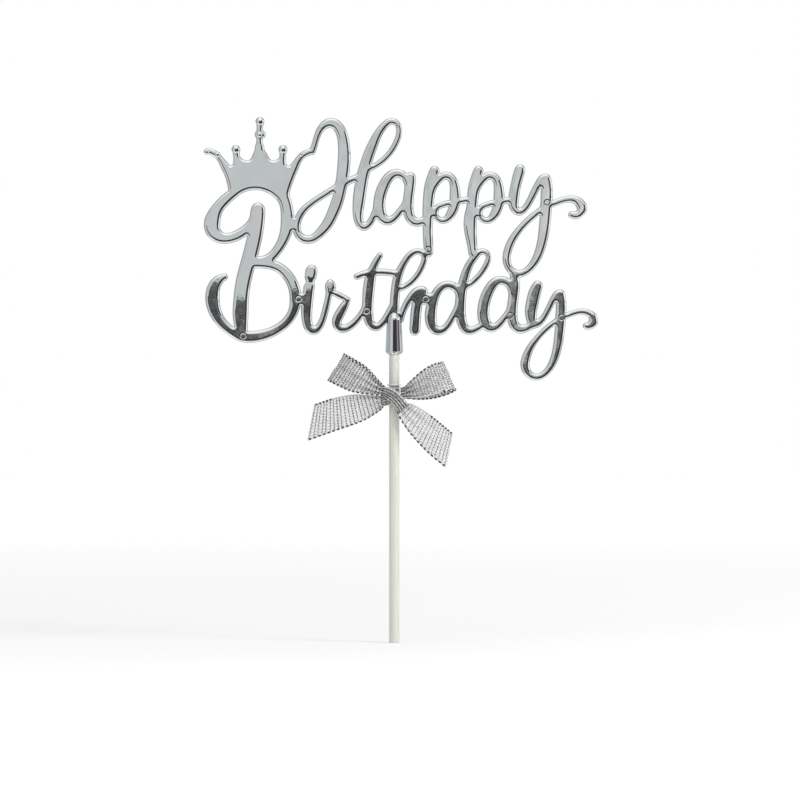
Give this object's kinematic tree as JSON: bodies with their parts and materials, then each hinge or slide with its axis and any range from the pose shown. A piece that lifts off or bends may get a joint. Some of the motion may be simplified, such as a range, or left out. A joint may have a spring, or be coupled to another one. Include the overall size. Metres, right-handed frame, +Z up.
{
  "type": "cake topper",
  "caption": "Moulded mirror-silver birthday greeting in brush script with a crown, socketed on a hollow white stick that carries a silver ribbon bow.",
  "frame": {"origin": "tip of the stick, on its axis, where it is pushed into the cake", "axes": "+Z up along the stick, +X to the reader's right along the rows, the lettering faces -Y"},
  "size_m": [0.1219, 0.0086, 0.1629],
  "materials": {
    "metallised_plastic": "vacuum-metallised mirror silver under a clear lacquer",
    "stick_plastic": "satin white extruded tube",
    "silver_ribbon": "metallic silver weave with dark and bright selvedge threads",
    "tie_wire": "bright thin wire"
  },
  "bodies": {
    "stick": {"stick": "stick_plastic"},
    "sign": {"lettering": "metallised_plastic"},
    "bow": {"bow_left_loop": "silver_ribbon", "bow_right_loop": "silver_ribbon", "bow_left_tail": "silver_ribbon", "bow_right_tail": "silver_ribbon", "bow_gather": "silver_ribbon", "bow_tie": "tie_wire"}
  },
  "joints": [
    {"name": "sign_turn", "type": "hinge", "parent": "stick", "child": "sign", "pos_m": [0, 0, 0.0888], "axis": [0, 0, 1], "continuous": true},
    {"name": "bow_slide", "type": "slide", "parent": "stick", "child": "bow", "axis": [0, 0, 1], "range_m": [-0.05, 0.004]}
  ]
}
